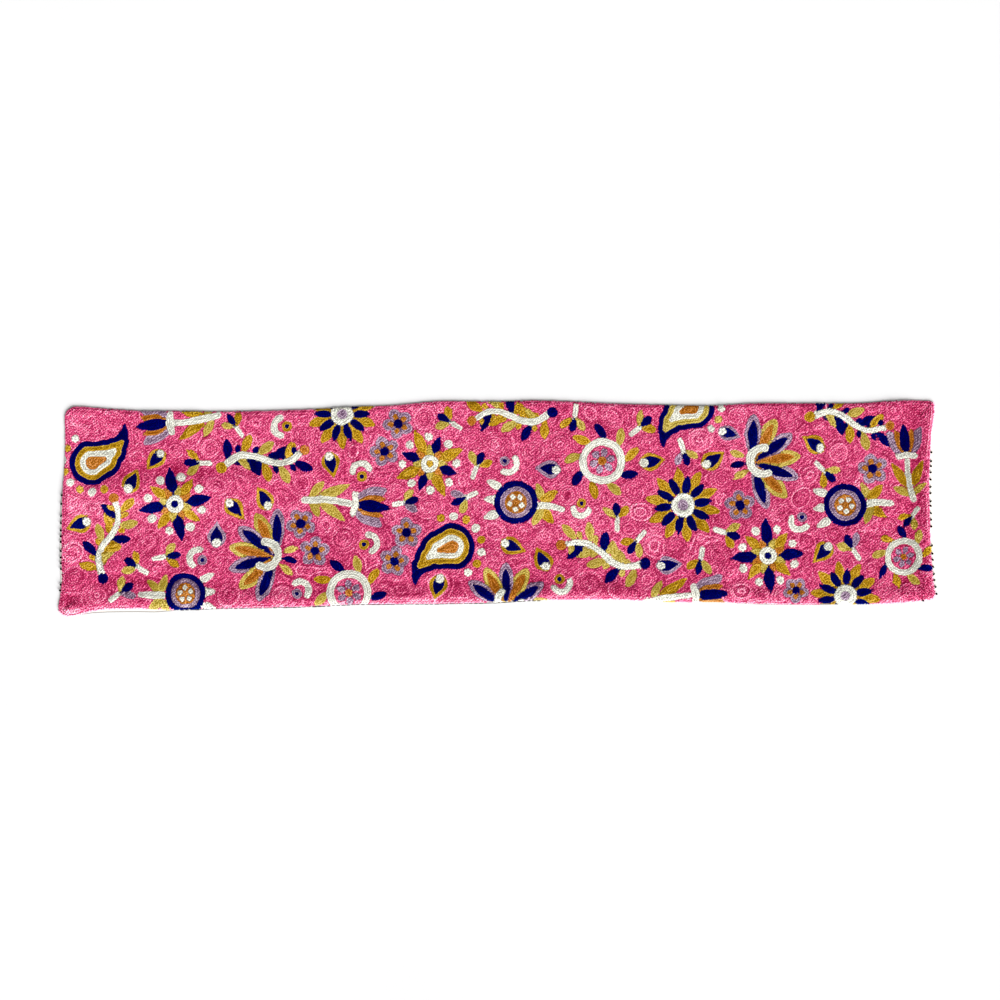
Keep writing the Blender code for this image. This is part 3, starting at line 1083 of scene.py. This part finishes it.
def mesh_piece(name, points, triangles, material, uv=None, attributes=()):
    """A smooth-shaded object from arrays."""
    mesh = bpy.data.meshes.new(name)
    mesh.vertices.add(len(points))
    mesh.vertices.foreach_set("co", np.asarray(points, np.float32).reshape(-1))
    mesh.loops.add(len(triangles) * 3)
    mesh.loops.foreach_set("vertex_index", np.asarray(triangles, np.int32).reshape(-1))
    mesh.polygons.add(len(triangles))
    mesh.polygons.foreach_set("loop_start", np.arange(0, len(triangles) * 3, 3, dtype=np.int32))
    mesh.update(calc_edges=True)
    mesh.validate()
    mesh.shade_smooth()
    if uv is not None:
        layer = mesh.uv_layers.new(name="OFBake")
        layer.data.foreach_set("uv", np.asarray(uv, np.float32).reshape(-1))
    for label, kind, values in attributes:
        attribute = mesh.attributes.new(label, kind, "POINT")
        key = "color" if kind == "FLOAT_COLOR" else "value"
        attribute.data.foreach_set(key, np.asarray(values, np.float32).reshape(-1))
    mesh.materials.append(material)
    return new_object(name, mesh)


def plan_uv(points, triangles, under=None):
    """A map from above for baking, with the faces underneath in a strip of their own."""
    low, high = points[:, :2].min(axis=0), points[:, :2].max(axis=0)
    uv = ((points[:, :2] - low) / (high - low))[triangles]
    if under is None:
        return uv
    strip, gap, top = 0.86, 0.01, 0.98
    uv[..., 1] *= strip - gap
    uv[under, :, 1] = strip + gap + uv[under][..., 1] * (top - strip)
    return uv


# Materials

class Nodes:
    """Adds nodes to a new material, or a new world, that has one shader."""

    def __init__(self, name, kind="materials", shader="Principled BSDF"):
        self.owner = getattr(bpy.data, kind).new(name)
        self.owner.use_nodes = True
        self.tree = self.owner.node_tree
        self.shader = self.tree.nodes[shader]
        if kind == "materials":
            self.place = self.add("TexCoord", "Object")

    def put(self, node, inputs):
        """Sets or links a node's inputs."""
        for key, value in inputs.items():
            if isinstance(value, bpy.types.NodeSocket):
                self.tree.links.new(value, node.inputs[key])
            else:
                node.inputs[key].default_value = value

    def add(self, kind, output, inputs={}, **settings):
        """Adds a node and gives one of its outputs."""
        node = self.tree.nodes.new("ShaderNode" + kind)
        for key, value in settings.items():
            setattr(node, key, value)
        self.put(node, inputs)
        return node.outputs[output]

    def stored(self, name, output="Fac"):
        """What the piece's points hold under a name."""
        return self.add("Attribute", output, attribute_name=name)

    def noise(self, scale, detail):
        return self.add("TexNoise", "Fac", {"Vector": self.place, "Scale": scale, "Detail": detail})

    def weighted(self, value, weight, more):
        """A value times a weight, and something more."""
        return self.add("Math", "Value", {0: value, 1: weight, 2: more}, operation="MULTIPLY_ADD")

    def between(self, value, low, high):
        """A value from 0 to 1, spread from low to high."""
        return self.add("MapRange", "Result", {"Value": value, "To Min": low, "To Max": high})

    def bump(self, height, strength, depth):
        inputs = {"Height": height, "Strength": strength, "Distance": depth}
        return self.add("Bump", "Normal", inputs)

    def ramp(self, value, stops, colours):
        """A colour for each value, from those at some values between 0 and 1."""
        colour = self.add("ValToRGB", "Color", {"Fac": value})
        elements = colour.node.color_ramp.elements
        while len(elements) < len(stops):
            elements.new(0.5)
        for element, place, shown in zip(elements, stops, colours):
            element.position = place
            element.color = (*shown, 1.0)
        return colour

    def finish(self, **inputs):
        self.put(self.shader, {key.replace("_", " "): value for key, value in inputs.items()})
        return self.owner


def thread_material(name, gap_shade_colour, whole, light, gain, flecks, painted_strokes, highlight_whiteness):
    """Soft twisted thread: painted lighter on top of each link and darker in its gaps, flecked,
    with painted slanted strokes of light and shade, and plies.
    """
    nodes = Nodes(f"thread_{name}")
    # Painted light and shade: slanted bright and dark strokes, as ridges lit from one side would
    # show
    slanted = nodes.add(
        "Mapping", "Vector",
        {"Vector": nodes.place, "Rotation": (0, 0, math.radians(PAINTED_STROKE_SLANT)),
         "Scale": (PAINTED_STROKE_STRETCH, 1, 1)}, vector_type="TEXTURE")
    waves_a_metre = 20 / (2 * math.pi)
    painted_stroke = nodes.add(
        "TexWave", "Fac",
        {"Vector": slanted, "Scale": 1 / (PAINTED_STROKE_PITCH * waves_a_metre),
         "Distortion": PAINTED_STROKE_BEND, "Detail": 1.0, "Detail Scale": 2.6}, bands_direction="Y")
    fleck = nodes.noise(900.0, 3.0)
    shade = nodes.weighted(fleck, flecks, nodes.stored("shade"))
    shade = nodes.weighted(painted_stroke, painted_strokes, shade)
    shade = nodes.weighted(nodes.noise(38.0, 2.0), PATCHES, shade)
    usual = USUAL_SHADE + (PATCHES + flecks + painted_strokes) / 2
    shade = nodes.weighted(shade, gain, MIDDLE_TONE - gain * usual)
    # The ramp runs from painted gap shade through the thread's own colour to a painted highlight,
    # nearest to white at its top
    painted_highlight = (1 - highlight_whiteness) * linear(light) + highlight_whiteness
    colours = [linear(gap_shade_colour), linear(whole), linear(light), painted_highlight]
    return nodes.finish(
        Base_Color=nodes.ramp(shade, (0.0, 0.41, 0.76, 1.0), colours),
        Roughness=nodes.between(fleck, 0.55, 0.85),
        Normal=nodes.bump(nodes.noise(2600.0, 2.0), 0.5, 0.0004),
        Specular_IOR_Level=0.0 if name == "navy" else 0.05,
    )


def ground_cloth_material():
    """The cloth between the links, painted in the gap shade of the threads that cross it."""
    nodes = Nodes("stitched_ground")
    fleck = nodes.noise(700.0, 3.0)
    gap_shaded = {0: nodes.stored("gap_shade", "Color"), 1: nodes.between(fleck, 0.55, 1.15)}
    return nodes.finish(
        Base_Color=nodes.add("VectorMath", "Vector", gap_shaded, operation="MULTIPLY"),
        Roughness=0.9, Normal=nodes.bump(fleck, 0.6, 0.0006), Specular_IOR_Level=0.03,
    )


def white_cotton_material():
    """Plain weave in unbleached white, a little uneven, with a fine thread count."""
    nodes = Nodes("white_cotton")
    weave = {"Vector": nodes.place, "Scale": 260.0, "Distortion": 1.2, "Detail": 1.0}
    warp, weft = (nodes.add("TexWave", "Fac", weave, bands_direction=way) for way in "XY")
    slub = nodes.noise(120.0, 4.0)
    crossed = nodes.add("Math", "Value", {0: warp, 1: weft}, operation="MAXIMUM")
    uneven = nodes.weighted(slub, 0.5, crossed)
    colour = nodes.ramp(uneven, (0.35, 1.0), linear(COTTON))
    # Painted shadow: the backing's rim is mixed towards grey where it meets the floor
    mixed = {0: nodes.stored("painted_rim"), 6: colour, 7: (*linear(RIM_SHADOW_COLOUR), 1.0)}
    return nodes.finish(
        Base_Color=nodes.add("Mix", 2, mixed, data_type="RGBA"),
        Roughness=nodes.between(slub, 0.75, 0.95), Normal=nodes.bump(uneven, 0.5, 0.0003),
        Specular_IOR_Level=0.2,
    )


def flecked_material(name, colours, scale, detail, shine):
    """A dull material that is flecked with a darker and a lighter colour."""
    nodes = Nodes(name)
    colour = nodes.ramp(nodes.noise(scale, detail), (0.3, 0.7), colours)
    return nodes.finish(Base_Color=colour, Roughness=0.9, Specular_IOR_Level=shine)


# The pieces

# A piece of stitches holds at most this many triangles
MOST_TRIANGLES = 190000


def make_stitches():
    """Every link of the embroidery, as one or more pieces for each thread."""
    rows = fill_gaps(*stitched_rows())
    pieces = []
    most_links = MOST_TRIANGLES // len(link_template()[1])
    for name, look in THREADS.items():
        material = thread_material(name, *look)
        mine = rows[sewn_in(name)[rows[:, 6].astype(int)]]
        mine = mine[np.argsort(mine[:, 0], kind="stable")]
        parts = max(1, math.ceil(len(mine) / most_links))
        for k, part in enumerate(np.array_split(mine, parts)):
            points, shade, triangles, under = link_mesh(part)
            label = f"stitches_{name}" + (f"_{k + 1}" if parts > 1 else "")
            uv = plan_uv(points, triangles, under)
            shades = [("shade", "FLOAT", shade)]
            pieces.append(mesh_piece(label, points, triangles, material, uv, shades))
    return pieces


# How much of a thread's whole colour there is in the cloth's, beside its painted gap shade
WHOLE_IN_GAP_SHADE = 0.2


def make_face_cloth():
    """The face's cloth as one sheet, turned under at its edges."""
    shape = tuple(n // COARSE + 1 for n in MAP_SHAPE)
    places = cell_places(COARSE * CELL, shape)
    inward, out = from_outline(places, OUTLINE)
    limit = -(ROLL * (math.pi - 1) - ROLL_INSET + HEM_UNDER)
    index = np.arange(len(places)).reshape(shape)
    corners = [index[:-1, :-1], index[:-1, 1:], index[1:, 1:], index[1:, :-1]]
    squares = np.stack(corners, axis=-1).reshape(-1, 4)
    squares = squares[(inward > limit)[squares].any(axis=1)]
    triangles = np.concatenate([squares[:, :3], squares[:, [0, 2, 3]]])
    past = inward < limit
    places[past] += out[past] * (inward[past] - limit)[:, None]
    used, triangles = np.unique(triangles, return_inverse=True)
    triangles = triangles.reshape(-1, 3)
    flat = places[used]
    region = np.maximum(DESIGN.region[on_map(nearest_cells(flat))], 0)
    # The cloth between the links is painted mostly in the threads' gap shade, as painted shade
    # between the stitches
    gap_shades = np.array([(1 - WHOLE_IN_GAP_SHADE) * linear(THREADS[t][0]) + WHOLE_IN_GAP_SHADE * linear(THREADS[t][1])
                     for t in DESIGN.thread])
    gap_shade = np.column_stack([gap_shades[region], np.ones(len(region))])
    return mesh_piece("face_cloth", on_cloth(flat), triangles, ground_cloth_material(),
                      plan_uv(flat, triangles), [("gap_shade", "FLOAT_COLOR", gap_shade)])


# The painted grey shadow line at the backing's rim: its width, and how strong it is on the near
# side and at the ends
RIM_SHADOW_WIDTH = 0.0013
RIM_NEAR, RIM_ENDS = 0.80, 0.25


def make_backing():
    """The backing as its solid has it, smooth, with a painted grey shadow line along its near side
    and ends.
    """
    node = frame["nodes"]["backing"]
    points, triangles = triangles_of(node)
    a_hair_inwards = 0.999
    inward, out = from_outline(a_hair_inwards * points[:, :2], outline_of(node))
    sides = RIM_NEAR * np.clip(-out[:, 1], 0, 1) ** 2 + RIM_ENDS * np.abs(out[:, 0])
    painted_rim = [("painted_rim", "FLOAT", sides * (inward < RIM_SHADOW_WIDTH))]
    return mesh_piece("backing_cloth", points, triangles, white_cotton_material(), None, painted_rim)


def closed_tube(middles, radii, side, corners=7):
    """Points and triangles of a tube through middles, closed at its ends. Its round section is
    upright, and side points to the left of the way that it runs."""
    angles = 2 * math.pi * np.arange(corners) / corners
    section = np.outer(np.cos(angles), side) + np.outer(np.sin(angles), (0, 0, 1))
    points = (middles[:, None] + radii[:, None, None] * section).reshape(-1, 3)
    k = np.arange(corners)
    triangles = []
    for start in corners * np.arange(len(middles) - 1):
        a, b = start + k, start + (k + 1) % corners
        triangles.append(np.column_stack([a, b, b + corners]))
        triangles.append(np.column_stack([a, b + corners, a + corners]))
    fan = np.column_stack([np.zeros(corners - 2, int), k[1:-1], k[2:]])
    triangles += [fan[:, ::-1], fan + corners * (len(middles) - 1)]
    return points, np.concatenate(triangles)


def tubes_piece(name, tubes, thread, colours):
    """Many tubes as one piece, of a sewing thread."""
    points, triangles = zip(*tubes)
    starts = np.cumsum([0, *map(len, points[:-1])])
    joined = [part + start for part, start in zip(triangles, starts)]
    material = flecked_material(thread, linear(colours), 1500.0, 2.0, 0.02)
    return mesh_piece(name, np.concatenate(points), np.concatenate(joined), material)


# Where the tack stitches run along each end, how far apart they are and how thick, how far out
# from the outline, how high and how steep, and how much they stray and lean
TACK_RUNS = [  # is it the right end, from, to, share of its stitches that show
    (True, -0.160, 0.120, 0.90),
    (False, -0.142, 0.048, 0.75),
]
TACK_STEP = 0.0117
TACK_RADIUS = 0.0019
TACK_RINGS = [  # along, share of the radius
    (-0.0024, 0.3), (-0.0016, 0.85), (-0.0002, 1.0), (0.0008, 1.0), (0.0015, 0.75), (0.0019, 0.2),
]
TACK_OUT = 0.0013
TACK_HEIGHT = 0.0042
TACK_SLOPE = 0.60
TACK_STRAY = 0.0011
TACK_LEAN = 0.25


def make_tacks():
    """Short dark stitches over the face's edge into the backing."""
    along, share_of_radius = np.array(TACK_RINGS).T
    tubes = []
    for right, low, high, share in TACK_RUNS:
        way = 1.0 if right else -1.0
        end = OUTLINE[OUTLINE[:, 0] * way > 0.5]
        end = end[np.argsort(end[:, 1])]
        for y in np.arange(low, high, TACK_STEP):
            y += rng.normal(0, TACK_STRAY)
            if rng.random() > share:
                continue
            x = np.interp(y, end[:, 1], end[:, 0]) + way * (along + TACK_OUT)
            y = y + rng.normal(0, TACK_LEAN) * along
            middles = np.column_stack([x, y, TACK_HEIGHT - TACK_SLOPE * along])
            tubes.append(closed_tube(middles, TACK_RADIUS * share_of_radius, (0, way, 0)))
    return tubes_piece("tack_stitches", tubes, "dark_thread", DARK_THREAD)


# The slip stitches of grey thread along the near edge, a dark thread that stands in for the fine
# shadow line under the face's edge: from where to where they run, how far apart they start, how
# thick they are along their length, how far out from the face's outline, and how many steps long
# and times as far out they are from and to
SEAM_FROM, SEAM_TO = -0.552, 0.074
SEAM_STEP = 0.0085
SEAM_RADIUS = 0.0008
SEAM_RINGS = [0.4, 1.0, 1.0, 1.0, 0.4]
SEAM_OUT = 0.0011
SEAM_LENGTH = (0.7, 1.2)
SEAM_STRAY = (0.5, 1.3)


def make_shadow_line_seam():
    """Slip stitches of grey thread between the face's near edge and the backing, a dark thread
    standing in for the shadow line there.
    """
    near = OUTLINE[OUTLINE[:, 1] < -0.12]
    near = near[np.argsort(near[:, 0])]
    share = np.linspace(0, 1, len(SEAM_RINGS))
    radii = SEAM_RADIUS * np.array(SEAM_RINGS)
    tubes = []
    for start in np.arange(SEAM_FROM, SEAM_TO, SEAM_STEP):
        x = start + rng.uniform(*SEAM_LENGTH) * SEAM_STEP * share
        y = np.interp(x, near[:, 0], near[:, 1]) - SEAM_OUT * rng.uniform(*SEAM_STRAY)
        middles = np.column_stack([x, y, np.full(len(x), SEAM_RADIUS)])
        tubes.append(closed_tube(middles, radii, (0, 1, 0)))
    return tubes_piece("shadow_line_seam", tubes, "shadow_seam_thread", SHADOW_SEAM_THREAD)


# The studio: where each light comes from, how wide it spreads in degrees and how strong it is,
# the sky's strength, and the floor's size and how far it is below the cloth

LIGHTS = {"key": ((4.50, -6.94, 6.20), 48, 6.8), "overhead": ((0.2, 0.2, 3.6), 60, 0.6)}
SKY_STRENGTH = 0.22
FLOOR_SIZE = 120.0
FLOOR_DROP = 0.0002


def make_floor():
    """A wide floor in a pale grey that is nearly even."""
    bpy.ops.mesh.primitive_plane_add(size=FLOOR_SIZE, location=(0, 0, -FLOOR_DROP))
    floor = bpy.context.active_object
    floor.name = "floor"
    greys = [(0.585,) * 3, (0.605,) * 3]
    floor.data.materials.append(flecked_material("pale_floor", greys, 1.5, 1.0, 0.1))


def even_light(name, place, spread, strength):
    """A wide soft light from the way of a place, as strong all over the floor."""
    lamp = bpy.data.lights.new(name, "SUN")
    lamp.angle = math.radians(spread)
    lamp.energy = strength
    light = new_object(name, lamp)
    light.location = place
    light.rotation_euler = (-Vector(place)).to_track_quat("-Z", "Y").to_euler()


def make_world():
    """A dim sky all round, which is white where the camera sees it."""
    nodes = Nodes("studio", "worlds", "Background")
    strength = nodes.between(nodes.add("LightPath", "Is Camera Ray"), SKY_STRENGTH, 1.0)
    bpy.context.scene.world = nodes.finish(Color=(1.0, 1.0, 1.0, 1.0), Strength=strength)
    bpy.context.scene.view_settings.view_transform = "Standard"


def make_camera():
    """Straight down, so that the picture shows the cloth at the photograph's scale."""
    lens, film, cloth_top = 85.0, 36.0, 0.004
    width = METRES_PER_PIXEL * FRAME_PIXELS
    middle = [(FRAME_PIXELS / 2 - ORIGIN_PIXEL[0]) * METRES_PER_PIXEL,
              (ORIGIN_PIXEL[1] - FRAME_PIXELS / 2) * METRES_PER_PIXEL]
    data = bpy.data.cameras.new("camera")
    data.lens = lens
    data.sensor_width = film
    camera = new_object("camera", data)
    camera.location = (*middle, width * lens / film + cloth_top)
    bpy.context.scene.camera = camera


make_camera()
make_floor()
for name, light in LIGHTS.items():
    even_light(name, *light)
make_world()

stitches = make_stitches()
face_cloth = make_face_cloth()
backing_cloth = make_backing()
tacks = make_tacks()
shadow_line_seam = make_shadow_line_seam()

for piece in [*stitches, face_cloth]:
    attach(piece, "root")
for piece in (backing_cloth, tacks, shadow_line_seam):
    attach(piece, "root")
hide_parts("embroidered_face")
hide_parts("backing")
